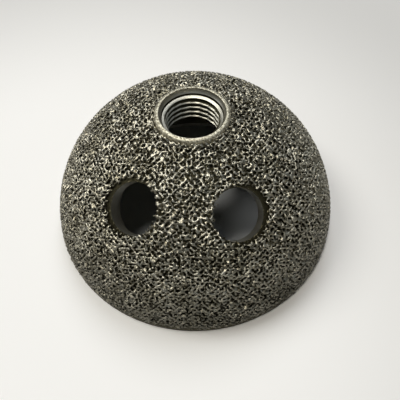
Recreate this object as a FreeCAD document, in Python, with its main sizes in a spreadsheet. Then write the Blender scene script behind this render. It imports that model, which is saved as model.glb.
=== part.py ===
import math
import os

import FreeCAD, Part
import Sketcher

# Acetabular cup of a hip replacement: a hemispherical shell, resting dome up on its rim.
# Frame: origin at the centre of the rim face, which is also the centre of the dome's spheres.
# +Z runs through the apex and -Y between the two screw holes. Sizes are in millimetres.

doc = FreeCAD.newDocument("acetabular_cup")

# Driving dimensions
sizes = {
    # Shell
    "outer_radius": 26.0,
    "wall_thickness": 5.2,
    "rim_band_height": 1.3,
    "rim_band_setback": 0.3,
    "rim_edge_break": 0.25,
    # Boss round the threaded apex hole
    "lip_rise": 0.35,
    "lip_width": 0.5,
    "lip_crest_width": 0.15,
    "lip_crown": 0.6,
    "boss_flare": 1.25,
    "counterbore_width": 0.8,
    "counterbore_flare": 0.35,
    "counterbore_depth": 1.2,
    "shoulder_drop": 0.33,
    # Apex hole at its tap drill's size
    "thread_minor_radius": 4.25,
    "thread_run_out": 0.4,
    # Seat for the liner, on the inside
    "mouth_chamfer": 0.5,
    "taper_mouth_radius": 21.3,
    "taper_half_angle": 9.0,
    "taper_height": 4.5,
    "relief_height": 1.2,
    "relief_depth": 0.5,
    # Bone-screw holes, square to the dome
    "screw_hole_radius": 4.2,
    "screw_hole_land": 3.5,
    "screw_seat_radius": 5.25,
    "screw_seat_edge_break": 0.3,
    "screw_hole_tilt": 40.4,
    "screw_hole_spread": 60.0,
    "cut_past_dome": 2.0,
}
sheet = doc.addObject("Spreadsheet::Sheet", "dims")
for row, (alias, size) in enumerate(sizes.items(), start=1):
    sheet.set(f"A{row}", alias)
    sheet.set(f"B{row}", str(size))
    sheet.setAlias(f"B{row}", alias)
doc.recompute()

# Rules that several corners share
outer = "dims.outer_radius"
inner = "(dims.outer_radius - dims.wall_thickness)"
band_radius = "(dims.outer_radius - dims.rim_band_setback)"
lip_top = "(dims.outer_radius + dims.lip_rise)"
counterbore_radius = "(dims.thread_minor_radius + dims.counterbore_width)"
mouth_radius = f"({counterbore_radius} + dims.counterbore_flare)"
lip_outer_radius = f"({mouth_radius} + dims.lip_width)"
boss_radius = f"({lip_outer_radius} + dims.boss_flare)"
floor_up = f"({lip_top} - dims.counterbore_depth)"
run_out_radius = "(dims.thread_minor_radius + dims.thread_run_out)"
relief_top = "(dims.taper_height + dims.relief_height)"
taper_rise = "(dims.taper_height - dims.mouth_chamfer)"
taper_top_radius = f"(dims.taper_mouth_radius - {taper_rise} * tan(dims.taper_half_angle * 1 deg))"
relief_radius = f"({taper_top_radius} + dims.relief_depth)"

# Ends of a line or an arc, and the sketch's own point and axes
START, END, CENTRE = range(1, 4)
LEVEL_AXIS, UPRIGHT_AXIS = -1, -2
ORIGIN = (LEVEL_AXIS, START)


def value_of(rule):
    found = sheet.evalExpression(rule)
    return float(getattr(found, "Value", found))


def on_sphere(radius, other):
    """Rule for the second coordinate of a point on a sphere round the origin."""
    return f"sqrt({radius} ^ 2 - {other} ^ 2)"


def bind(sketch, constraint, rule):
    index = sketch.addConstraint(constraint)
    sketch.setExpression(f"Constraints[{index}]", rule)


def draw_outline(sketch, corners, arcs):
    """Draws a closed outline.

    corners maps a corner's name to (rule across, rule up, which of them hold it), the last
    being "both", "across" or "up". A side is named after the corner it starts from, and arcs
    maps a side that is an arc to the two rules of its centre.
    Returns each side's number in the sketch and its end at its own corner, by name.
    """
    names = list(corners)
    points = [FreeCAD.Vector(value_of(c[0]), value_of(c[1]), 0) for c in corners.values()]
    count = len(corners)
    own_end = []
    for i, name in enumerate(names):
        first = points[i]
        last = points[(i + 1) % count]
        if name not in arcs:
            sketch.addGeometry(Part.LineSegment(first, last), False)
            own_end.append(START)
            continue
        centre = FreeCAD.Vector(*(value_of(rule) for rule in arcs[name]), 0)
        circle = Part.Circle(centre, FreeCAD.Vector(0, 0, 1), first.distanceToPoint(centre))
        turns_left = (first - centre).cross(last - centre).z > 0
        ends = (first, last) if turns_left else (last, first)
        angles = [circle.parameter(end) for end in ends]
        sketch.addGeometry(Part.ArcOfCircle(circle, *angles), False)
        own_end.append(START if turns_left else END)
    for i in range(count):
        j = (i + 1) % count
        far_end = START + END - own_end[i]
        sketch.addConstraint(Sketcher.Constraint("Coincident", i, far_end, j, own_end[j]))
    for i, (across, up, held) in enumerate(corners.values()):
        at = (i, own_end[i])
        if held in ("both", "across") and abs(points[i].x) < 1e-9:
            sketch.addConstraint(Sketcher.Constraint("PointOnObject", *at, UPRIGHT_AXIS))
        elif held in ("both", "across"):
            bind(sketch, Sketcher.Constraint("DistanceX", *ORIGIN, *at, points[i].x), across)
        if held in ("both", "up"):
            bind(sketch, Sketcher.Constraint("DistanceY", *ORIGIN, *at, points[i].y), up)
    return {name: (i, own_end[i]) for i, name in enumerate(names)}


def sketch_on(body, role, name):
    sketch = body.newObject("Sketcher::SketchObject", name)
    plane = next(f for f in body.Origin.OriginFeatures if f.Role == role)
    sketch.AttachmentSupport = [(plane, "")]
    sketch.MapMode = "FlatFace"
    return sketch


# Acetabular cup: one solid of revolution
cup = doc.addObject("PartDesign::Body", "acetabular_cup")
cup.Label = "acetabular_cup"

section = sketch_on(cup, "XZ_Plane", "cup_section")
run_out_up = on_sphere(inner, run_out_radius)
corners = {
    # Rim face and the smooth band round it
    "rim_inner": ("dims.taper_mouth_radius + dims.mouth_chamfer", "0", "across"),
    "rim_outer": (f"{band_radius} - dims.rim_edge_break", "0", "across"),
    "band_foot": (band_radius, "dims.rim_edge_break", "both"),
    "band_top": (band_radius, "dims.rim_band_height", "both"),
    # Dome, from the band's ledge to the foot of the boss
    "dome": (on_sphere(outer, "dims.rim_band_height"), "dims.rim_band_height", "up"),
    "boss_foot": (boss_radius, on_sphere(outer, boss_radius), "across"),
    # Boss flaring up to its crowned lip, a little proud of the dome, then counterbore and hole
    "lip_outer": (lip_outer_radius, f"{lip_top} - dims.lip_crown", "both"),
    "lip_crest": (f"{mouth_radius} + dims.lip_crest_width", lip_top, "both"),
    "bore_mouth": (mouth_radius, lip_top, "both"),
    "bore_floor": (counterbore_radius, floor_up, "both"),
    "thread_top": ("dims.thread_minor_radius", f"{floor_up} - dims.shoulder_drop", "both"),
    "thread_foot": ("dims.thread_minor_radius", f"{run_out_up} + dims.thread_run_out", "across"),
    # Inner dome, relief and taper
    "inner_dome": (run_out_radius, run_out_up, "across"),
    "relief_top": (on_sphere(inner, relief_top), relief_top, "up"),
    "relief_edge": (relief_radius, relief_top, "both"),
    "relief_foot": (relief_radius, "dims.taper_height", "both"),
    "taper_top": (taper_top_radius, "dims.taper_height", "both"),
    "taper_mouth": ("dims.taper_mouth_radius", "dims.mouth_chamfer", "both"),
}
at = draw_outline(section, corners, {"dome": ("0", "0"), "inner_dome": ("0", "0")})
for name in ("rim_inner", "rim_outer"):
    section.addConstraint(Sketcher.Constraint("PointOnObject", *at[name], LEVEL_AXIS))
for name, radius in (("dome", outer), ("inner_dome", inner)):
    side = at[name][0]
    section.addConstraint(Sketcher.Constraint("Coincident", side, CENTRE, *ORIGIN))
    bind(section, Sketcher.Constraint("Radius", side, value_of(radius)), radius)
run_out_rise = Sketcher.Constraint(
    "DistanceY", *at["inner_dome"], *at["thread_foot"], sizes["thread_run_out"]
)
bind(section, run_out_rise, "dims.thread_run_out")
shell = cup.newObject("PartDesign::Revolution", "shell")
shell.Profile = section
shell.ReferenceAxis = (section, ["V_Axis"])
shell.Angle = 360
section.Visibility = False
doc.recompute()

# Screw hole: a plain land under the dome, then a spherical seat for the screw's head.
# The sketch's upright axis is the hole's own, from the centre of the dome outwards.
hole_section = sketch_on(cup, "XY_Plane", "screw_hole_section")
azimuth = "(-90 deg - dims.screw_hole_spread * 0.5 deg)"
hole_section.setExpression(
    "AttachmentOffset",
    f"placement(vector(0; 0; 0); rotation({azimuth}; dims.screw_hole_tilt * 1 deg; 90 deg))",
)
land_foot = "(dims.outer_radius - dims.screw_hole_land)"
seat_depth = "sqrt(dims.screw_seat_radius ^ 2 - dims.screw_hole_radius ^ 2)"
seat_centre = f"({land_foot} - {seat_depth})"
seat_mouth = f"({on_sphere(inner, 'dims.screw_seat_radius')} - dims.cut_past_dome)"
past_dome = "(dims.outer_radius + dims.cut_past_dome)"
hole_corners = {
    "axis_foot": ("0", seat_mouth, "both"),
    "axis_top": ("0", past_dome, "both"),
    "land_top": ("dims.screw_hole_radius", past_dome, "both"),
    "seat": ("dims.screw_hole_radius", land_foot, "both"),
    "seat_wall": ("dims.screw_seat_radius", seat_centre, "across"),
    "seat_wall_foot": ("dims.screw_seat_radius", seat_mouth, "both"),
}
hole_at = draw_outline(hole_section, hole_corners, {"seat": ("0", seat_centre)})
# The seat's widest point is level with its centre, which is on the hole's axis
seat_middle = (hole_at["seat"][0], CENTRE)
hole_section.addConstraint(Sketcher.Constraint("PointOnObject", *seat_middle, UPRIGHT_AXIS))
hole_section.addConstraint(Sketcher.Constraint("Horizontal", *seat_middle, *hole_at["seat_wall"]))
screw_hole = cup.newObject("PartDesign::Groove", "screw_hole")
screw_hole.Profile = hole_section
screw_hole.ReferenceAxis = (hole_section, ["V_Axis"])
screw_hole.Angle = 360
hole_section.Visibility = False

# The second hole faces the first across the plane through the apex and -Y
second_hole = cup.newObject("PartDesign::Mirrored", "second_screw_hole")
second_hole.Originals = [screw_hole]
mirror = next(f for f in cup.Origin.OriginFeatures if f.Role == "YZ_Plane")
second_hole.MirrorPlane = (mirror, [""])
cup.Tip = second_hole
doc.recompute()


def seat_mouths(shape):
    """Names of the edges where a screw seat opens into the inner dome."""
    inner_radius = value_of(inner)
    names = []
    for number, edge in enumerate(shape.Edges, start=1):
        ends = [edge.valueAt(edge.FirstParameter), edge.valueAt(edge.LastParameter)]
        middle = edge.valueAt((edge.FirstParameter + edge.LastParameter) / 2)
        on_dome = all(abs(point.Length - inner_radius) < 1e-4 for point in (*ends, middle))
        off_axis = math.hypot(edge.CenterOfMass.x, edge.CenterOfMass.y) > sizes["screw_hole_radius"]
        if on_dome and off_axis and edge.Length > sizes["screw_hole_radius"]:
            names.append(f"Edge{number}")
    return names


seat_break = cup.newObject("PartDesign::Chamfer", "seat_mouth_break")
seat_break.Base = (second_hole, seat_mouths(second_hole.Shape))
seat_break.setExpression("Size", "dims.screw_seat_edge_break")
cup.Tip = seat_break
doc.recompute()

# Every object is sound, and each cut took something away
for item in doc.Objects:
    if "Invalid" in item.State or "Error" in item.State:
        raise RuntimeError(f"{item.Name} didn't build: {item.State}")
for before, after in ((shell, screw_hole), (screw_hole, second_hole)):
    if before.Shape.Volume - after.Shape.Volume < 1.0:
        raise RuntimeError(f"{after.Name} cut nothing")
solid = cup.Shape
if solid.isNull() or not solid.isValid() or len(solid.Solids) != 1:
    raise RuntimeError("the cup isn't one sound solid")

os.makedirs("parts", exist_ok=True)
solid.exportStep(f"parts/{cup.Label}.step")
print(f"{cup.Label}: {solid.Volume:.0f} mm3, {len(solid.Faces)} faces, box {solid.BoundBox}")
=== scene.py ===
import math

import bmesh
import bpy
import numpy as np
from mathutils import Matrix, Vector


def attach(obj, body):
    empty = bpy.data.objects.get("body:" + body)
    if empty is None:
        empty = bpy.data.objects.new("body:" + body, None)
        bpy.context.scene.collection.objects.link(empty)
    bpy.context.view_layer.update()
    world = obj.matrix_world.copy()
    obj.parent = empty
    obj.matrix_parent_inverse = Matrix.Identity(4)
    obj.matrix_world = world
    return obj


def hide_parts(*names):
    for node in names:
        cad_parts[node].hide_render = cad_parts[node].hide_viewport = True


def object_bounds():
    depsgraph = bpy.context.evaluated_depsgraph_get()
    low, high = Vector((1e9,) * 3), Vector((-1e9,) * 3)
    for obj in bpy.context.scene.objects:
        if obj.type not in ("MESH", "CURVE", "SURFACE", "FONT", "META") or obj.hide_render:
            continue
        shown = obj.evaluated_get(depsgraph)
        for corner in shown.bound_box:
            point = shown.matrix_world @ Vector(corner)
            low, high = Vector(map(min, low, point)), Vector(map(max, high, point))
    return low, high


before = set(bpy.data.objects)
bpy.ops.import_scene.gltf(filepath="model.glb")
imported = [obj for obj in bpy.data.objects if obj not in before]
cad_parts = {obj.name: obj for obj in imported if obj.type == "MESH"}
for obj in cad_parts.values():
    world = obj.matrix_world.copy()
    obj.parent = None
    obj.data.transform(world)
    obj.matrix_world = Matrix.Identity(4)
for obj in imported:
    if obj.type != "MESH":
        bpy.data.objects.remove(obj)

cadLow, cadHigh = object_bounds()
mm = 0.001
cupNode = "acetabular_cup"

# The cup stands dome up on its rim, with the centre of the dome's spheres at the origin.
# Its own sizes are in millimetres and turn to metres where a mesh is made.
cup = {
    "coatRadius": cadHigh[0] / mm,       # over the tips of the struts
    "topUp": cadHigh[2] / mm,            # the boss's lip
    "coreRadius": 25.05,                 # solid metal under the coat
    "innerRadius": 20.8,
    "bandRadius": 25.7,                  # the plain band round the rim, under the coat
    "bandHeight": 1.3,
    "bandEdge": 0.25,
    "edge": 0.05,                        # what a turned edge is broken by
    "faceSteps": 4,                      # across the rim and up the taper
    "arcSteps": 44,                      # from the rim up to the boss
    "turnsRound": 192,                   # sides of everything turned about +Z
}


def linear(hexColour):
    parts = [int(hexColour[i:i + 2], 16) / 255 for i in (1, 3, 5)]
    return [c / 12.92 if c <= 0.04045 else ((c + 0.055) / 1.055) ** 2.4 for c in parts] + [1.0]


def addNode(tree, kind, settings=None, links=None):
    # A setting is the node's own or else an input's. A colour Mix has its colours at inputs 6 and 7
    # and its result at output 2.
    node = tree.nodes.new(kind)
    for name, value in (settings or {}).items():
        if isinstance(name, str) and hasattr(node, name):
            setattr(node, name, value)
        else:
            node.inputs[name].default_value = value
    for name, source in (links or {}).items():
        tree.links.new(source, node.inputs[name])
    return node


def newMaterial(name):
    material = bpy.data.materials.new(name)
    material.use_nodes = True
    material.node_tree.nodes.clear()
    return material, material.node_tree


def makeObject(name, mesh, material):
    obj = bpy.data.objects.new(name, mesh)
    bpy.context.scene.collection.objects.link(obj)
    mesh.materials.append(material)
    return obj


def meshFrom(name, points, faces):
    corners = faces.shape[1]
    mesh = bpy.data.meshes.new(name)
    mesh.vertices.add(len(points))
    mesh.vertices.foreach_set("co", (points * mm).astype(np.float32).ravel())
    mesh.loops.add(faces.size)
    mesh.loops.foreach_set("vertex_index", faces.astype(np.int32).ravel())
    mesh.polygons.add(len(faces))
    mesh.polygons.foreach_set("loop_start", np.arange(0, faces.size, corners, dtype=np.int32))
    mesh.polygons.foreach_set("use_smooth", np.full(len(faces), True))
    mesh.update(calc_edges=True)
    return mesh


def turned(rings, sides):
    # rings is a closed outline of (radius, height), and a radius may be an array over the angles
    angle = np.arange(sides) * (2 * math.pi / sides)
    grid = np.empty((len(rings), sides, 3))
    for i, (radius, up) in enumerate(rings):
        grid[i, :, 0] = radius * np.cos(angle)
        grid[i, :, 1] = radius * np.sin(angle)
        grid[i, :, 2] = up
    number = np.arange(len(rings) * sides).reshape(len(rings), sides)
    after = np.roll(number, -1, axis=0)
    faces = np.stack([number, np.roll(number, -1, axis=1), np.roll(after, -1, axis=1), after], axis=2)
    return grid.reshape(-1, 3), faces.reshape(-1, 4)


def arcPoints(radius, start, end, steps, centre=(0.0, 0.0)):
    # Angles are in degrees, from the radius's direction towards the height's
    for i in range(steps + 1):
        a = math.radians(start + (end - start) * i / steps)
        yield centre[0] + radius * math.cos(a), centre[1] + radius * math.sin(a)


# Porous titanium, printed by electron beam: struts of part-melted powder, matt and grainy,
# bright where a strut's round faces the lamp and nearly black down the pores
# The deep tone is painted shade, darker deeper in the coat
porousFinish = {
    "strut": "#aca796",
    "shade": "#847f6d",
    # painted shade, deep down in the coat
    "deep": "#5c5641",
    "paintedShadeFrom": 1.0,                     # mm under the tips, where the painted shade starts to clear
    "paintedShadeTo": 0.15,                      # and where it is gone
    "rimShade": 0.5,                     # the lowest struts are painted darker, as shade, up to rimShadeUp
    "rimShadeUp": 14.0,                  # mm
    "roughness": 0.3,
    "grain": 0.09,                       # mm, one part-melted powder grain
    "grainHeight": 0.03,
    "relief": 0.5,                       # how much of the grains' height shows
    "patch": 3.5,                        # mm, tone drifts over this
    "patchRange": (0.3, 0.6),            # of the noise, from shade to strut
}


def porousTitanium():
    material, tree = newMaterial("printed porous titanium")
    place = addNode(tree, "ShaderNodeTexCoord").outputs["Object"]
    reach = addNode(tree, "ShaderNodeVectorMath", {"operation": "LENGTH"}, {0: place}).outputs["Value"]
    # Painted shade: the struts darken with their depth under the tips
    depth = addNode(tree, "ShaderNodeMapRange", {
        "interpolation_type": "SMOOTHSTEP",
        "From Min": (cup["coatRadius"] - porousFinish["paintedShadeFrom"]) * mm,
        "From Max": (cup["coatRadius"] - porousFinish["paintedShadeTo"]) * mm,
    }, {"Value": reach}).outputs["Result"]
    patches = addNode(tree, "ShaderNodeTexNoise", {
        "Scale": 1 / (porousFinish["patch"] * mm), "Detail": 3.0, "Roughness": 0.6,
    }, {"Vector": place}).outputs["Fac"]
    drift = addNode(tree, "ShaderNodeMapRange", {
        "From Min": porousFinish["patchRange"][0], "From Max": porousFinish["patchRange"][1],
    }, {"Value": patches}).outputs["Result"]
    tone = addNode(tree, "ShaderNodeMix", {
        "data_type": "RGBA",
        6: linear(porousFinish["shade"]),
        7: linear(porousFinish["strut"]),
    }, {0: drift})
    colour = addNode(tree, "ShaderNodeMix", {"data_type": "RGBA", 6: linear(porousFinish["deep"])},
                     {0: depth, 7: tone.outputs[2]})
    height = addNode(tree, "ShaderNodeSeparateXYZ", {}, {0: place}).outputs["Z"]
    # Painted shade: the struts darken towards the rim
    paintedRimShade = addNode(tree, "ShaderNodeMapRange", {
        "interpolation_type": "SMOOTHSTEP", "From Max": porousFinish["rimShadeUp"] * mm,
        "To Min": porousFinish["rimShade"], "To Max": 1.0,
    }, {"Value": height}).outputs["Result"]
    colour = addNode(tree, "ShaderNodeVectorMath", {"operation": "SCALE"},
                     {0: colour.outputs[2], "Scale": paintedRimShade})
    grains = addNode(tree, "ShaderNodeTexVoronoi", {"Scale": 1 / (porousFinish["grain"] * mm)},
                     {"Vector": place}).outputs["Distance"]
    bump = addNode(tree, "ShaderNodeBump", {
        "Strength": porousFinish["relief"], "Distance": porousFinish["grainHeight"] * mm,
        "invert": True,
    }, {"Height": grains})
    shader = addNode(tree, "ShaderNodeBsdfPrincipled", {
        "Metallic": 1.0, "Roughness": porousFinish["roughness"],
    }, {"Base Color": colour.outputs["Vector"], "Normal": bump.outputs["Normal"]})
    addNode(tree, "ShaderNodeOutputMaterial", {}, {"Surface": shader.outputs["BSDF"]})
    return material


# The cup's metal at the bottom of the pores and on the rim's band, as printed and rough, painted
# dark as shade so that it takes little light. The thread's roots and the counterbore's corner have it
# too, for the shade that lies in them.
shadeFinish = {
    "metal": "#4f4b38",
    "dark": "#2a271c",
    "roughness": 0.6,
    "grain": 0.3,                        # mm; the real grains are finer
    "grainHeight": 0.1,
    "relief": 0.6,
}


def shadeTitanium():
    material, tree = newMaterial("titanium painted dark as shade")
    place = addNode(tree, "ShaderNodeTexCoord").outputs["Object"]
    grains = addNode(tree, "ShaderNodeTexNoise", {
        "Scale": 1 / (shadeFinish["grain"] * mm), "Detail": 4.0, "Roughness": 0.6,
    }, {"Vector": place})
    colour = addNode(tree, "ShaderNodeMix", {
        "data_type": "RGBA", 6: linear(shadeFinish["dark"]), 7: linear(shadeFinish["metal"]),
    }, {0: grains.outputs["Fac"]})
    bump = addNode(tree, "ShaderNodeBump", {
        "Strength": shadeFinish["relief"], "Distance": shadeFinish["grainHeight"] * mm,
    }, {"Height": grains.outputs["Fac"]})
    shader = addNode(tree, "ShaderNodeBsdfPrincipled", {
        "Metallic": 1.0, "Roughness": shadeFinish["roughness"],
    }, {"Base Color": colour.outputs[2], "Normal": bump.outputs["Normal"]})
    addNode(tree, "ShaderNodeOutputMaterial", {}, {"Surface": shader.outputs["BSDF"]})
    return material


# The printed skin left on the boss's lip: the same grains, sintered flat, pale and mottled
skinFinish = {
    "metal": "#d0cab5",
    "shade": "#6b6552",
    "roughness": 0.56,
    "grain": 0.3,                        # mm; the real grains are finer
    "grainHeight": 0.06,
    "relief": 0.7,
    "mottleRange": (0.35, 0.6),          # of the noise, from shade to metal
}


def skinTitanium():
    material, tree = newMaterial("printed titanium skin, lightly blasted")
    place = addNode(tree, "ShaderNodeTexCoord").outputs["Object"]
    grains = addNode(tree, "ShaderNodeTexNoise", {
        "Scale": 1 / (skinFinish["grain"] * mm), "Detail": 3.0, "Roughness": 0.55,
    }, {"Vector": place})
    sharper = addNode(tree, "ShaderNodeMapRange", {
        "From Min": skinFinish["mottleRange"][0], "From Max": skinFinish["mottleRange"][1],
    }, {"Value": grains.outputs["Fac"]})
    colour = addNode(tree, "ShaderNodeMix", {
        "data_type": "RGBA", 6: linear(skinFinish["shade"]), 7: linear(skinFinish["metal"]),
    }, {0: sharper.outputs["Result"]})
    bump = addNode(tree, "ShaderNodeBump", {
        "Strength": skinFinish["relief"], "Distance": skinFinish["grainHeight"] * mm,
    }, {"Height": grains.outputs["Fac"]})
    shader = addNode(tree, "ShaderNodeBsdfPrincipled", {
        "Metallic": 1.0, "Roughness": skinFinish["roughness"],
    }, {"Base Color": colour.outputs[2], "Normal": bump.outputs["Normal"]})
    addNode(tree, "ShaderNodeOutputMaterial", {}, {"Surface": shader.outputs["BSDF"]})
    return material


# Titanium turned on a lathe after printing: satin, with fine rings that draw its glints out
turnedFinish = {
    "metal": "#c9c5b6",
    "worn": "#aaa697",
    "roughness": 0.4,
    "glossDrift": (-0.06, 0.08),         # the roughness strays this far
    "cloud": 4.0,                        # mm, its tone and gloss drift over this
    "feed": 0.12,                        # mm, one pass of the tool; the real marks are finer
    "markHeight": 0.02,
    "relief": 0.35,
}


def turnedTitanium():
    material, tree = newMaterial("turned titanium")
    place = addNode(tree, "ShaderNodeTexCoord").outputs["Object"]
    axes = addNode(tree, "ShaderNodeSeparateXYZ", {}, {0: place})
    flat = addNode(tree, "ShaderNodeCombineXYZ", {}, {"X": axes.outputs["X"], "Y": axes.outputs["Y"]})
    radius = addNode(tree, "ShaderNodeVectorMath", {"operation": "LENGTH"}, {0: flat.outputs[0]})
    along = addNode(tree, "ShaderNodeMath", {"operation": "ADD"},
                    {0: radius.outputs["Value"], 1: axes.outputs["Z"]})
    marks = addNode(tree, "ShaderNodeTexNoise", {
        "noise_dimensions": "1D", "Scale": 1 / (turnedFinish["feed"] * mm), "Detail": 2.0,
    }, {"W": along.outputs[0]})
    clouds = addNode(tree, "ShaderNodeTexNoise", {
        "Scale": 1 / (turnedFinish["cloud"] * mm), "Detail": 4.0,
    }, {"Vector": place})
    colour = addNode(tree, "ShaderNodeMix", {
        "data_type": "RGBA",
        6: linear(turnedFinish["worn"]),
        7: linear(turnedFinish["metal"]),
    }, {0: clouds.outputs["Fac"]})
    gloss = addNode(tree, "ShaderNodeMapRange", {
        "To Min": turnedFinish["roughness"] + turnedFinish["glossDrift"][0],
        "To Max": turnedFinish["roughness"] + turnedFinish["glossDrift"][1],
    }, {"Value": clouds.outputs["Fac"]})
    bump = addNode(tree, "ShaderNodeBump", {
        "Strength": turnedFinish["relief"], "Distance": turnedFinish["markHeight"] * mm,
    }, {"Height": marks.outputs["Fac"]})
    shader = addNode(tree, "ShaderNodeBsdfPrincipled", {"Metallic": 1.0}, {
        "Base Color": colour.outputs[2], "Roughness": gloss.outputs["Result"],
        "Normal": bump.outputs["Normal"],
    })
    addNode(tree, "ShaderNodeOutputMaterial", {}, {"Surface": shader.outputs["BSDF"]})
    return material


# The turned boss round the apex hole, with a counterbore
boss = {
    "flareRadius": 7.15,                 # the coat starts to climb the boss here
    "flankSteps": 5,
    "lipRadius": 6.08,
    "lipDrop": 0.45,                     # the lip's outer edge, under its crest
    "crestRadius": 5.5,
    "crownSquare": 0.85,                 # 1 is an ellipse, less is squarer
    "crownSteps": 8,
    "mouthRadius": 5.4,                  # the printed skin is left outside this
    "edge": 0.02,
    "wallDepth": 0.87,                   # the counterbore's wall, hollowed towards its foot
    "wallSteps": 7,
    "boreRadius": 5.05,
    "boreDepth": 1.2,
    "shoulderRadius": 4.93,              # inside a fine groove at the wall's foot
    "shoulderEdge": 0.03,
    "grooveDepth": 0.16,
    "grooveWidth": 0.08,                 # to either side of the wall's foot
    "shadeHeight": 0.3,                  # the wall's foot is painted dark as shade this far up
    "shoulderDrop": 0.21,
}


def bossOutline():
    # From the core up the boss, over its crowned lip and down the flared counterbore
    lipTop = cup["topUp"]
    lipFoot = lipTop - boss["lipDrop"]
    floorUp = lipTop - boss["boreDepth"]
    grooveUp = floorUp - boss["grooveDepth"]
    footUp = math.sqrt(cup["coreRadius"] ** 2 - boss["lipRadius"] ** 2)
    for i in range(1, boss["flankSteps"]):
        yield boss["lipRadius"], footUp + (lipFoot - footUp) * i / boss["flankSteps"]
    crown = boss["lipRadius"] - boss["crestRadius"]
    for across, up in arcPoints(1.0, 0.0, 90.0, boss["crownSteps"]):
        square = boss["crownSquare"]
        yield boss["crestRadius"] + crown * across ** square, lipFoot + boss["lipDrop"] * up ** square
    edge = boss["edge"]
    yield boss["mouthRadius"] + 3 * edge, lipTop
    yield boss["mouthRadius"] + edge, lipTop - edge
    for i in range(1, boss["wallSteps"] + 1):
        share = i / boss["wallSteps"]
        inward = (boss["mouthRadius"] - boss["boreRadius"]) * share ** 2
        yield boss["mouthRadius"] - inward, lipTop - boss["wallDepth"] * share
    yield boss["boreRadius"], grooveUp + edge
    yield boss["boreRadius"] - edge, grooveUp
    yield boss["shoulderRadius"] + edge, grooveUp
    yield boss["shoulderRadius"], floorUp - boss["shoulderEdge"]
    yield boss["shoulderRadius"] - boss["shoulderEdge"], floorUp


# The apex hole's thread, down to a run-out at the inside
thread = {
    "minorRadius": 4.25,
    "depth": 0.5413,                     # of a pitch, as a 60 degree thread is cut
    "crest": 1 / 6,                      # of a pitch, the flats over and between the turns
    "root": 1 / 8,
    "pitch": 25.4 / 24,                  # 24 turns an inch
    "leadIn": 0.2,                       # wider by this down to the first full turn
    "leadInDepth": 0.5,
    "bright": 0.17,                      # the flanks keep their bright metal this deep, and the roots are painted dark as shade
    "darkFrom": 20.3,                    # no root is painted dark as shade under this height, where the inside starts
    "runOut": 0.4,
    "crestUp": 23.63,                    # a crest's middle on the +X side
    "ringsPerTurn": 18,
}


def threadRings():
    # The wall is the widest of the drilled hole, its sloped shoulder, the lead-in, the thread's cut
    # and its run-out
    top = cup["topUp"] - boss["boreDepth"]
    runOutRadius = thread["minorRadius"] + thread["runOut"]
    foot = math.sqrt(cup["innerRadius"] ** 2 - runOutRadius ** 2)
    pitch = thread["pitch"]
    crest, root = pitch * thread["crest"], pitch * thread["root"]
    depth = thread["depth"] * pitch
    shoulder = boss["shoulderRadius"] - boss["shoulderEdge"] - thread["minorRadius"]
    angle = np.arange(cup["turnsRound"]) * (2 * math.pi / cup["turnsRound"])
    count = round((top - foot) / pitch * thread["ringsPerTurn"])
    for i in range(1, count):
        up = top - (top - foot) * i / count
        phase = (up - thread["crestUp"]) / pitch - angle / (2 * math.pi)
        off = np.abs(phase - np.round(phase)) * pitch  # from the crest's middle
        cut = np.clip((off - crest / 2) / (pitch / 2 - crest / 2 - root / 2), 0, 1) * depth
        slope = shoulder * (1 - (top - up) / boss["shoulderDrop"])
        runOut = thread["runOut"] - (up - foot)
        leadIn = thread["leadIn"] if top - up < thread["leadInDepth"] else 0.0
        yield thread["minorRadius"] + np.maximum(cut, max(slope, runOut, leadIn)), up
    yield runOutRadius, foot


# The liner's side: a taper at the mouth, and a shallow relief over it
seat = {
    "mouthRadius": 21.3,
    "mouthEdge": 0.5,
    "taperHeight": 4.5,
    "taperTopRadius": 20.666,
    "reliefHeight": 1.2,
    "reliefDepth": 0.5,
    "reliefEdge": 0.15,
}


def shellOutline():
    # Round the wall once: out along the rim, up the core, over the boss, down the bore and the inside
    edge = cup["edge"]
    steps = cup["faceSteps"]
    rings = [(seat["mouthRadius"] + seat["mouthEdge"], 0.0)]
    for i in range(1, steps + 1):
        width = cup["bandRadius"] - cup["bandEdge"] - rings[0][0]
        rings.append((rings[0][0] + width * i / steps, 0.0))
    rings += [
        (cup["bandRadius"], cup["bandEdge"]),
        (cup["bandRadius"], cup["bandHeight"] - edge),
        (cup["bandRadius"] - edge, cup["bandHeight"]),
    ]
    core = cup["coreRadius"]
    start = math.degrees(math.asin(cup["bandHeight"] / core))
    foot = math.degrees(math.acos(boss["lipRadius"] / core))
    rings += arcPoints(core, start, foot, cup["arcSteps"])
    rings += bossOutline()
    rings += threadRings()
    reliefTop = seat["taperHeight"] + seat["reliefHeight"]
    runOutRadius = thread["minorRadius"] + thread["runOut"]
    high = math.degrees(math.acos(runOutRadius / cup["innerRadius"]))
    low = math.degrees(math.asin(reliefTop / cup["innerRadius"]))
    rings += list(arcPoints(cup["innerRadius"], high, low, cup["arcSteps"]))[1:]
    reliefRadius = seat["taperTopRadius"] + seat["reliefDepth"]
    rings += [
        (reliefRadius - seat["reliefEdge"], reliefTop),
        (reliefRadius, reliefTop - seat["reliefEdge"]),
        (reliefRadius, seat["taperHeight"]),
        (seat["taperTopRadius"] + edge, seat["taperHeight"]),
        (seat["taperTopRadius"], seat["taperHeight"] - edge),
    ]
    for i in range(1, steps + 1):
        share = i / steps
        rings.append((
            seat["taperTopRadius"] + (seat["mouthRadius"] - seat["taperTopRadius"]) * share,
            seat["taperHeight"] + (seat["mouthEdge"] - seat["taperHeight"]) * share,
        ))
    return rings


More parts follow.
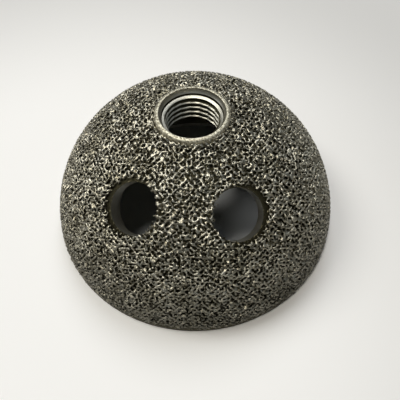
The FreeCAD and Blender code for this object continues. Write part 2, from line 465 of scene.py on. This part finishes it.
# The two screw holes, each with a plain land and a round seat inside
screwHole = {
    "radius": 4.2,
    "tilt": 40.4,                        # degrees from the apex
    "azimuths": (-120.0, -60.0),         # round from +X
    "landFoot": 22.5,                    # from the origin
    "seatRadius": 5.25,
    "seatSteps": 10,
    "sleeveRadius": 4.4,                 # solid round the hole, out to here
    "sleeveUp": 25.1,                    # and a little over the core
    "sleeveLumps": (0.5, 2.0),           # of the struts' knobs, on its side and on its top
    "coatRadius": 4.5,                   # the coat is cut a little wider, off the hole's centre
    "coatAside": 0.5,
    "sides": 96,
    "cutFrom": 17.0,                     # the cutter's ends, from the origin
    "cutTo": 28.0,
}


def holeMatrix(azimuth):
    # The hole's own frame: its Z runs from the origin out along the hole
    return (Matrix.Rotation(math.radians(azimuth), 4, "Z")
            @ Matrix.Rotation(math.radians(screwHole["tilt"]), 4, "Y"))


def holeCutter(azimuth, material):
    # The plain land runs out through the dome, and the round seat opens it to the inside
    deep = math.sqrt(screwHole["seatRadius"] ** 2 - screwHole["radius"] ** 2)
    seatCentre = screwHole["landFoot"] - deep
    widest = math.degrees(math.asin(deep / screwHole["seatRadius"]))
    axis = 0.001                         # the cutter's own axis, kept open by a hair
    outline = [(axis, screwHole["cutTo"]), (axis, screwHole["cutFrom"])]
    outline += [(screwHole["seatRadius"], screwHole["cutFrom"])]
    outline += arcPoints(screwHole["seatRadius"], 0.0, widest, screwHole["seatSteps"], (0.0, seatCentre))
    outline += [(screwHole["radius"], screwHole["cutTo"])]
    points, faces = turned(outline, screwHole["sides"])
    cutter = makeObject("hole_cutter", meshFrom("hole_cutter", points, faces), material)
    cutter.matrix_world = holeMatrix(azimuth)
    return cutter


def makeShell(material):
    points, faces = turned(shellOutline(), cup["turnsRound"])
    shell = makeObject("cup_shell", meshFrom("cup_shell", points, faces), material)
    cutters = [holeCutter(azimuth, material) for azimuth in screwHole["azimuths"]]
    bpy.context.view_layer.update()
    for cutter in cutters:
        cut = shell.modifiers.new("cut", "BOOLEAN")
        cut.operation = "DIFFERENCE"
        cut.solver = "EXACT"
        cut.object = cutter
    made = bpy.data.meshes.new_from_object(
        shell.evaluated_get(bpy.context.evaluated_depsgraph_get()))
    shell.modifiers.clear()
    shell.data = made
    for cutter in cutters:
        bpy.data.objects.remove(cutter, do_unlink=True)
    return shell


# The shell's finishes, in the order of its material slots
turnedSlot, shadeSlot, skinSlot = 0, 1, 2


def finishSlot(middle):
    # The finish of the facet whose middle is here, in mm
    aside = math.hypot(middle.x, middle.y)
    over = middle.length - cup["coreRadius"]
    floorUp = cup["topUp"] - boss["boreDepth"]
    near = 0.05                          # what still counts as the core's own surface
    underCoat = abs(over) < near
    onBand = middle.z < cup["bandHeight"] and aside > cup["bandRadius"] - cup["bandEdge"]
    grooveFoot = floorUp - boss["grooveDepth"] - boss["edge"] / 2
    inGroove = (grooveFoot < middle.z < floorUp + boss["shadeHeight"]
                and abs(aside - boss["boreRadius"]) < boss["grooveWidth"])
    inRoot = (thread["darkFrom"] < middle.z < floorUp - boss["shoulderDrop"]
              and thread["minorRadius"] + thread["bright"] < aside < boss["shoulderRadius"])
    # Painted shade: the core's face under the coat, the rim's band, the groove at the wall's foot and
    # the thread's roots take the dark metal
    if underCoat or onBand or inGroove or inRoot:
        return shadeSlot
    onLip = middle.z > cup["innerRadius"] and aside > boss["mouthRadius"] and over > near
    if onLip:
        return skinSlot
    return turnedSlot


def cleanShell(shell):
    # Facets that meet at a real edge stay sharp, and each takes its own finish
    sharp = math.radians(32)
    merge = 0.001 * mm
    bm = bmesh.new()
    bm.from_mesh(shell.data)
    bmesh.ops.remove_doubles(bm, verts=bm.verts, dist=merge)
    bmesh.ops.dissolve_degenerate(bm, edges=bm.edges, dist=merge)
    bmesh.ops.recalc_face_normals(bm, faces=bm.faces)
    for edge in bm.edges:
        edge.smooth = len(edge.link_faces) == 2 and edge.calc_face_angle(0.0) < sharp
    for face in bm.faces:
        face.smooth = True
        face.material_index = finishSlot(face.calc_center_median() / mm)
    bm.to_mesh(shell.data)
    bm.free()


# The porous coat: the edges between random cells, thick where they meet, as the beam builds them
coat = {
    "cell": 0.65,                        # mm, as all the sizes here
    "jitter": 0.9,                       # of a cell, how far a cell's seed strays
    "strut": 0.094,                      # radius
    "strutDrift": 0.052,                 # where this takes the radius away the strut breaks off
    "driftLength": 0.62,
    "knob": 0.022,                       # part-melted powder makes the struts lumpy
    "knobLength": 0.34,
    "rounding": 0.08,                    # of the struts' cut ends
    "crownDip": 0.03,                    # they end this far under the dome
    "crownRagged": 0.12,                 # and stray by this, over crownLength
    "crownLength": 0.75,
    "bossRagged": 0.09,                  # the same beside the boss
    "bottomUp": 0.85,                    # the lower edge, over the paper
    "bottomRagged": 0.25,
    "holeRagged": 0.16,
    "sunk": 0.1,                         # into the metal under it
    "clearance": 0.02,                   # kept inside the dome and off the holes' walls
    "sample": 0.13,                      # the grid that the surface is found on
    "quickSample": 0.18,
    "spareSteps": 2,                     # of the grid, past the coat on each side
    "spareUnder": 5,
    "batch": 400_000,                    # grid points worked out at a time
    "seed": 11,
    "sectors": 6,                        # pieces that it is cut into
    "trianglesInAll": 900_000,
}


def makeSeeds():
    cells = 2 * (int(cup["coatRadius"] / coat["cell"]) + 4)
    random = np.random.default_rng(coat["seed"])
    return (random.random((cells, cells, cells, 3), dtype=np.float32) - 0.5) * coat["jitter"]


def smoothNoise(points, scale, number):
    # About -1 to 1, with its ups and downs a scale apart: waves of about that length, each in a
    # direction of its own, that start anywhere in their turn
    waves = 10
    shortest, longest = 0.8, 1.25        # the share of the scale that a wave takes
    fullTurn = 6.3                       # radians, near enough
    random = np.random.default_rng(coat["seed"] + number)
    total = np.zeros(len(points), np.float32)
    for _ in range(waves):
        wave = random.normal(size=3)
        wave *= 2 * math.pi / (scale * np.linalg.norm(wave) * random.uniform(shortest, longest))
        total += np.sin(points @ wave.astype(np.float32) + np.float32(random.random() * fullTurn))
    return total / np.float32(math.sqrt(waves / 2))


def strutDistance(points, seeds):
    # Three cells meet along a strut, so the three nearest seeds are as far as each other there.
    # With three seeds evenly round it, the spread of their distances is spreadShare times the
    # square of the distance from the strut.
    farAway = 9.0                        # in cells
    spreadShare = 4.5
    place = points / np.float32(coat["cell"])
    home = np.floor(place).astype(np.int32)
    cells = len(seeds)
    near = np.full((3, len(points)), farAway, np.float32)
    for dx in (-1, 0, 1):
        for dy in (-1, 0, 1):
            for dz in (-1, 0, 1):
                cell = home + np.array([dx, dy, dz], np.int32)
                index = (cell + cells // 2) % cells
                away = cell + np.float32(0.5) + seeds[index[:, 0], index[:, 1], index[:, 2]] - place
                far = np.sqrt(np.einsum("ij,ij->i", away, away)).astype(np.float32)
                for rank in range(3):
                    nearer = np.minimum(near[rank], far)
                    far = np.maximum(near[rank], far)
                    near[rank] = nearer
    spread = (near[0] - near[1]) ** 2 + (near[1] - near[2]) ** 2 + (near[0] - near[2]) ** 2
    return np.sqrt(spread / spreadShare) * coat["cell"]


def overFlare(aside, up):
    # How far a point is over the cone that flares from the dome up to the boss's lip, and only
    # as far out as the cone's foot, since further out it would stand clear of the dome
    foot = np.array([boss["flareRadius"], math.sqrt(cup["coatRadius"] ** 2 - boss["flareRadius"] ** 2)])
    head = np.array([boss["lipRadius"], cup["topUp"] - boss["lipDrop"]])
    along = (foot - head) / np.linalg.norm(foot - head)
    over = (up - head[1]) * np.float32(along[0]) - (aside - head[0]) * np.float32(along[1])
    return np.where(aside < boss["flareRadius"], over, np.float32(1.0))


def coatField(points, seeds):
    # Below zero inside the metal of the coat: the struts, cut off under the dome and the boss, kept
    # off the screw holes, with a solid sleeve round each hole, and ended a little over the paper
    radius = np.linalg.norm(points, axis=1)
    aside = np.hypot(points[:, 0], points[:, 1])
    knobs = coat["knob"] * smoothNoise(points, coat["knobLength"], 3)
    thick = coat["strut"] + coat["strutDrift"] * smoothNoise(points, coat["driftLength"], 1)
    field = strutDistance(points, seeds) - thick - knobs
    ragged = smoothNoise(points, coat["crownLength"], 2)
    flare = overFlare(aside, points[:, 2])
    crown = np.minimum(
        radius - (cup["coatRadius"] - coat["crownDip"] + coat["crownRagged"] * ragged),
        flare - coat["bossRagged"] * ragged)
    # A maximum with its edge rounded
    field = 0.5 * (field + crown + np.sqrt((field - crown) ** 2 + coat["rounding"] ** 2))
    allowed = np.maximum(np.minimum(radius - cup["coatRadius"], flare - coat["bossRagged"]),
                         aside - cup["coatRadius"])
    field = np.maximum(field, allowed + coat["clearance"])
    for azimuth in screwHole["azimuths"]:
        down, across, along = (points @ np.array(holeMatrix(azimuth).to_3x3(), np.float32)).T
        shift = math.copysign(screwHole["coatAside"], math.cos(math.radians(azimuth)))
        fromAxis = np.hypot(down, across)
        fromCoatAxis = np.hypot(down, across - shift)
        cut = np.maximum(field, screwHole["coatRadius"] + coat["holeRagged"] * ragged - fromCoatAxis)
        sleeve = np.maximum(fromAxis - screwHole["sleeveRadius"] - screwHole["sleeveLumps"][0] * knobs,
                            radius - screwHole["sleeveUp"] - screwHole["sleeveLumps"][1] * knobs)
        sleeve = np.maximum(sleeve, screwHole["radius"] + coat["clearance"] - fromAxis)
        field = np.where(along > 0, np.minimum(cut, sleeve), field)
    field = np.maximum(field, cup["coreRadius"] - coat["sunk"] - radius)
    field = np.maximum(field, boss["lipRadius"] - coat["sunk"] - aside)
    field = np.maximum(field, coat["bottomUp"] + coat["bottomRagged"] * ragged - points[:, 2])
    return field


def makeCoatField(seeds):
    # The field on a grid, worked out only in the coat's own layer and left above zero elsewhere
    step = coat["sample"]
    spare = coat["spareSteps"] * step
    reach = cup["coatRadius"] + spare
    flat = np.arange(-reach, reach, step, dtype=np.float32)
    up = np.arange(coat["bottomUp"] - coat["spareUnder"] * step, reach, step, dtype=np.float32)
    radius = np.sqrt(flat[:, None, None] ** 2 + flat[None, :, None] ** 2 + up[None, None, :] ** 2)
    aside = np.hypot(flat[:, None], flat[None, :])[:, :, None]
    top = np.where(aside < boss["flareRadius"], math.hypot(boss["flareRadius"], cup["topUp"]), reach)
    inLayer = (radius > cup["coreRadius"] - coat["sunk"] - spare) & (radius < top)
    index = np.argwhere(inLayer)
    field = np.full(inLayer.shape, 1.0, np.float32)
    for start in range(0, len(index), coat["batch"]):
        part = index[start:start + coat["batch"]]
        points = np.stack([flat[part[:, 0]], flat[part[:, 1]], up[part[:, 2]]], axis=1)
        field[part[:, 0], part[:, 1], part[:, 2]] = coatField(points, seeds)
    return field, np.array([flat[0], flat[0], up[0]])


cellCorners = [(a, b, c) for a in (0, 1) for b in (0, 1) for c in (0, 1)]
cellEdges = [(p, q) for p in cellCorners for q in cellCorners
             if p < q and sum(abs(np.subtract(p, q))) == 1]


def surfaceOf(field, corner, step):
    # One point in each grid cell that the surface crosses, and a quad round each crossed grid edge
    tiny = 1e-12                         # keeps the division going where nothing crosses
    inside = field < 0
    shape = [n - 1 for n in field.shape]
    count = np.zeros(shape, np.int8)
    for a, b, c in cellCorners:
        count += inside[a:a + shape[0], b:b + shape[1], c:c + shape[2]]
    crossed = (count > 0) & (count < len(cellCorners))
    cell = np.argwhere(crossed)
    number = np.full(shape, -1, np.int32)
    number[crossed] = np.arange(len(cell))
    total = np.zeros((len(cell), 3))
    crossings = np.zeros(len(cell))
    value = {k: field[cell[:, 0] + k[0], cell[:, 1] + k[1], cell[:, 2] + k[2]] for k in cellCorners}
    for p, q in cellEdges:
        crosses = (value[p] < 0) != (value[q] < 0)
        share = np.where(crosses, value[p] / (value[p] - value[q] + tiny), 0)
        total += np.where(crosses[:, None], np.array(p) + share[:, None] * np.subtract(q, p), 0)
        crossings += crosses
    points = corner + (cell + total / crossings[:, None]) * step
    faces = []
    for axis in range(3):
        low, high = [slice(1, -1)] * 3, [slice(1, -1)] * 3
        low[axis], high[axis] = slice(0, -1), slice(1, None)
        edge = np.argwhere(inside[tuple(low)] != inside[tuple(high)])
        leaves = inside[tuple(low)][tuple(edge.T)]
        first, second = [(axis + 1) % 3, (axis + 2) % 3]
        at = edge.copy()
        at[:, first] += 1
        at[:, second] += 1
        quad = []
        for u, v in ((0, 0), (1, 0), (1, 1), (0, 1)):
            beside = at.copy()
            beside[:, first] -= u
            beside[:, second] -= v
            quad.append(number[beside[:, 0], beside[:, 1], beside[:, 2]])
        quad = np.stack(quad, axis=1)
        quad[~leaves] = quad[~leaves][:, ::-1]
        faces.append(quad)
    return points, np.concatenate(faces)


def thinned(points, faces, material):
    # Blender's own decimation keeps the struts' shape and drops triangles along them
    whole = makeObject("coat", meshFrom("coat", points, faces), material)
    thin = whole.modifiers.new("thin", "DECIMATE")
    thin.ratio = min(1.0, coat["trianglesInAll"] / (2 * len(faces)))
    bpy.context.view_layer.update()
    mesh = bpy.data.meshes.new_from_object(whole.evaluated_get(bpy.context.evaluated_depsgraph_get()))
    bpy.data.objects.remove(whole, do_unlink=True)
    mesh.calc_loop_triangles()
    place = np.empty(len(mesh.vertices) * 3, np.float32)
    mesh.vertices.foreach_get("co", place)
    normal = np.empty(len(mesh.vertices) * 3, np.float32)
    mesh.vertex_normals.foreach_get("vector", normal)
    corner = np.empty(len(mesh.loop_triangles) * 3, np.int32)
    mesh.loop_triangles.foreach_get("vertices", corner)
    bpy.data.meshes.remove(mesh)
    return place.reshape(-1, 3) / mm, normal.reshape(-1, 3), corner.reshape(-1, 3)


def makeCoat(material):
    field, corner = makeCoatField(makeSeeds())
    points, faces = surfaceOf(field, corner, coat["sample"])
    print("coat:", len(points), "points,", len(faces), "quads", flush=True)
    points, normals, faces = thinned(points, faces, material)
    print("coat:", len(points), "points,", len(faces), "triangles", flush=True)
    # It is cut into sectors round the axis, and keeps the whole coat's normals across their joins
    middle = points[faces].mean(axis=1)
    share = (np.arctan2(middle[:, 1], middle[:, 0]) + math.pi) / (2 * math.pi)
    sector = np.floor(share * coat["sectors"]).astype(int) % coat["sectors"]
    made = []
    for i in range(coat["sectors"]):
        own = faces[sector == i]
        used, renumbered = np.unique(own, return_inverse=True)
        name = f"porous_coat_{i + 1}"
        mesh = meshFrom(name, points[used], renumbered.reshape(own.shape))
        mesh.normals_split_custom_set_from_vertices(normals[used].tolist())
        made.append(makeObject(name, mesh, material))
    return made


turnedMetal = turnedTitanium()
shell = makeShell(turnedMetal)
shell.data.materials.clear()
for material in (turnedMetal, shadeTitanium(), skinTitanium()):
    shell.data.materials.append(material)
cleanShell(shell)
print("shell:", len(shell.data.polygons), "faces", flush=True)
pieces = [shell] + makeCoat(porousTitanium())
for piece in pieces:
    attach(piece, "root")
    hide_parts(cupNode)
print("cup:", len(pieces), "pieces", flush=True)


# What the eye sees round the cup, and what its metal mirrors. It gives no diffuse light.
room = {
    "wall": "#e5e5e2",
    "low": "#4a4945",                    # the dim lower part of the room, in the metal only
    "ceiling": "#9aa2ab",
    "ceilingFrom": 0.25,                 # how far up a reflection points, 1 is straight up
    "ceilingTo": 0.6,
}

# Pale paper under the cup, whitest beside it and greyer outwards: a painted pool of lamp light that
# falls off
stage = {
    "middle": (-20.0, -12.0, 0.0),       # mm, as all the sizes here
    "near": "#f5f5f3",
    "nearOut": 35.0,
    "far": "#d1d1cf",
    "farOut": 100.0,
    "edge": "#c0c0be",
    "edgeOut": 260.0,
    "wallOut": (112.0, 320.0),           # the paper turns to the wall's tone over this
    "under": "#b0b4b7",                  # painted shade on the paper under the cup, which shows through the holes
    "underOut": 21.0,
    "roughness": 0.8,
    "specular": 0.2,
    "fibre": 0.6,
    "fibreHeight": 0.05,
    "relief": 0.05,
    "size": 3000.0,
}


def makeStage():
    material, tree = newMaterial("pale paper")
    place = addNode(tree, "ShaderNodeTexCoord").outputs["Object"]
    out = addNode(tree, "ShaderNodeVectorMath", {
        "operation": "DISTANCE", 1: [c * mm for c in stage["middle"]],
    }, {0: place}).outputs["Value"]
    share = addNode(tree, "ShaderNodeMapRange", {"From Max": stage["edgeOut"] * mm}, {"Value": out})
    # The painted pool of lamp light
    colour = addNode(tree, "ShaderNodeValToRGB", {}, {"Fac": share.outputs["Result"]})
    ramp = colour.color_ramp
    ramp.interpolation = "EASE"
    ramp.elements[0].position = stage["nearOut"] / stage["edgeOut"]
    ramp.elements[0].color = linear(stage["near"])
    ramp.elements[1].color = linear(stage["edge"])
    ramp.elements.new(stage["farOut"] / stage["edgeOut"]).color = linear(stage["far"])
    fromCup = addNode(tree, "ShaderNodeVectorMath", {"operation": "LENGTH"}, {0: place}).outputs["Value"]
    # Painted shade on the paper under the cup
    beside = addNode(tree, "ShaderNodeMath", {"operation": "GREATER_THAN", 1: stage["underOut"] * mm},
                     {0: fromCup})
    colour = addNode(tree, "ShaderNodeMix", {"data_type": "RGBA", 6: linear(stage["under"])},
                     {0: beside.outputs[0], 7: colour.outputs["Color"]})
    fibre = addNode(tree, "ShaderNodeTexNoise", {"Scale": 1 / (stage["fibre"] * mm), "Detail": 3.0},
                    {"Vector": place})
    bump = addNode(tree, "ShaderNodeBump", {
        "Strength": stage["relief"], "Distance": stage["fibreHeight"] * mm,
    }, {"Height": fibre.outputs["Fac"]})
    shader = addNode(tree, "ShaderNodeBsdfPrincipled", {
        "Roughness": stage["roughness"], "Specular IOR Level": stage["specular"],
    }, {"Base Color": colour.outputs[2], "Normal": bump.outputs["Normal"]})
    # Further out the eye sees the wall's tone, which lights nothing, in place of a horizon
    outwards = addNode(tree, "ShaderNodeMapRange", {
        "interpolation_type": "SMOOTHSTEP",
        "From Min": stage["wallOut"][0] * mm, "From Max": stage["wallOut"][1] * mm,
    }, {"Value": fromCup}).outputs["Result"]
    toEye = addNode(tree, "ShaderNodeMath", {"operation": "MULTIPLY"}, {
        0: outwards, 1: addNode(tree, "ShaderNodeLightPath").outputs["Is Camera Ray"]})
    wall = addNode(tree, "ShaderNodeEmission", {"Color": linear(room["wall"]), "Strength": 1.0})
    both = addNode(tree, "ShaderNodeMixShader", {}, {
        0: toEye.outputs[0], 1: shader.outputs["BSDF"], 2: wall.outputs[0]})
    addNode(tree, "ShaderNodeOutputMaterial", {}, {"Surface": both.outputs[0]})
    half = stage["size"] / 2
    corners = np.array([(-half, -half, 0), (half, -half, 0), (half, half, 0), (-half, half, 0)])
    floor = makeObject("floor", meshFrom("floor", corners, np.array([[0, 1, 2, 3]])), material)


# Soft lamps to the left and behind, which throw the shadow to the right and the front, a low pale
# window that lights the left flank, and a smaller lamp overhead for the glints beside the boss
lampAim = (0.0, 0.0, 10.0)               # mm
lamps = {
    # name: (place in mm, size in mm, watts, colour)
    "left": ((-560.0, 100.0, 880.0), 500.0, 4.3, "#fffdf8"),
    "behind": ((0.0, 540.0, 960.0), 600.0, 4.7, "#f6f9ff"),
    "window": ((-960.0, 0.0, 390.0), 600.0, 1.0, "#f4f8ff"),
    "key": ((-110.0, -200.0, 1020.0), 220.0, 3.8, "#fff9ee"),
}


def makeLamps():
    for name, (place, size, watts, colour) in lamps.items():
        light = bpy.data.lights.new(name, "AREA")
        light.shape = "DISK"
        light.size = size * mm
        light.energy = watts
        light.color = linear(colour)[:3]
        lamp = bpy.data.objects.new(name, light)
        bpy.context.scene.collection.objects.link(lamp)
        lamp.location = Vector(place) * mm
        aim = Vector(lampAim) * mm - lamp.location
        lamp.rotation_euler = aim.to_track_quat("-Z", "Y").to_euler()


def makeWorld():
    world = bpy.data.worlds.new("studio")
    bpy.context.scene.world = world
    world.use_nodes = True
    tree = world.node_tree
    tree.nodes.clear()
    # The eye sees the pale wall, and the metal the dim part of the room and the ceiling over it
    toSky = addNode(tree, "ShaderNodeTexCoord").outputs["Generated"]
    height = addNode(tree, "ShaderNodeSeparateXYZ", {}, {0: toSky}).outputs["Z"]
    ray = addNode(tree, "ShaderNodeLightPath").outputs
    above = addNode(tree, "ShaderNodeMapRange", {
        "interpolation_type": "SMOOTHSTEP",
        "From Min": room["ceilingFrom"], "From Max": room["ceilingTo"],
    }, {"Value": height}).outputs["Result"]
    reflected = addNode(tree, "ShaderNodeMix", {
        "data_type": "RGBA", 6: linear(room["low"]), 7: linear(room["ceiling"]),
    }, {0: above})
    colour = addNode(tree, "ShaderNodeMix", {"data_type": "RGBA", 7: linear(room["wall"])},
                     {0: ray["Is Camera Ray"], 6: reflected.outputs[2]})
    seen = addNode(tree, "ShaderNodeMath", {"operation": "MAXIMUM"}, {
        0: ray["Is Camera Ray"], 1: ray["Is Glossy Ray"]})
    seen = addNode(tree, "ShaderNodeMath", {"operation": "MAXIMUM"}, {
        0: seen.outputs[0], 1: ray["Is Transmission Ray"]})
    wall = addNode(tree, "ShaderNodeBackground", {"Strength": 1.0}, {"Color": colour.outputs[2]})
    dark = addNode(tree, "ShaderNodeBackground", {"Strength": 0.0})
    around = addNode(tree, "ShaderNodeMixShader", {}, {0: seen.outputs[0], 1: dark.outputs[0]})
    tree.links.new(wall.outputs[0], around.inputs[2])
    addNode(tree, "ShaderNodeOutputWorld", {}, {"Surface": around.outputs[0]})


# The photograph's camera. It looks at a point above the rim's centre.
shot = {
    "azimuth": 6.1,                      # degrees, from -Y towards +X
    "elevation": 53.84,
    "roll": 1.75,
    "distance": 98.358,                  # mm
    "aimUp": 7.8,
    "focalPixels": 529.6,                # in pixels of the photograph, as the next two
    "shiftPixels": (5.61, -18.59),
    "widthPixels": 400,                  # the whole photograph
    "sensorWidth": 36.0,                 # mm, as the next two
    "clipFrom": 1.0,
    "clipTo": 20_000.0,
}


def makeCamera():
    camera = bpy.data.cameras.new("camera")
    camera.sensor_width = shot["sensorWidth"]
    camera.lens = shot["sensorWidth"] * shot["focalPixels"] / shot["widthPixels"]
    camera.shift_x = shot["shiftPixels"][0] / shot["widthPixels"]
    camera.shift_y = shot["shiftPixels"][1] / shot["widthPixels"]
    camera.clip_start = shot["clipFrom"] * mm
    camera.clip_end = shot["clipTo"] * mm
    a, e = math.radians(shot["azimuth"]), math.radians(shot["elevation"])
    back = Vector((math.sin(a) * math.cos(e), -math.cos(a) * math.cos(e), math.sin(e)))
    right = Vector((math.cos(a), math.sin(a), 0.0))
    turn = Matrix((right, back.cross(right), back)).transposed().to_4x4()
    holder = bpy.data.objects.new("camera", camera)
    bpy.context.scene.collection.objects.link(holder)
    place = back * shot["distance"] * mm + Vector((0, 0, shot["aimUp"] * mm))
    roll = Matrix.Rotation(math.radians(-shot["roll"]), 4, "Z")
    holder.matrix_world = Matrix.Translation(place) @ turn @ roll
    bpy.context.scene.camera = holder


makeStage()
makeLamps()
makeWorld()
makeCamera()
bpy.context.scene.view_settings.view_transform = "Standard"
print("stage, lamps and camera set", flush=True)
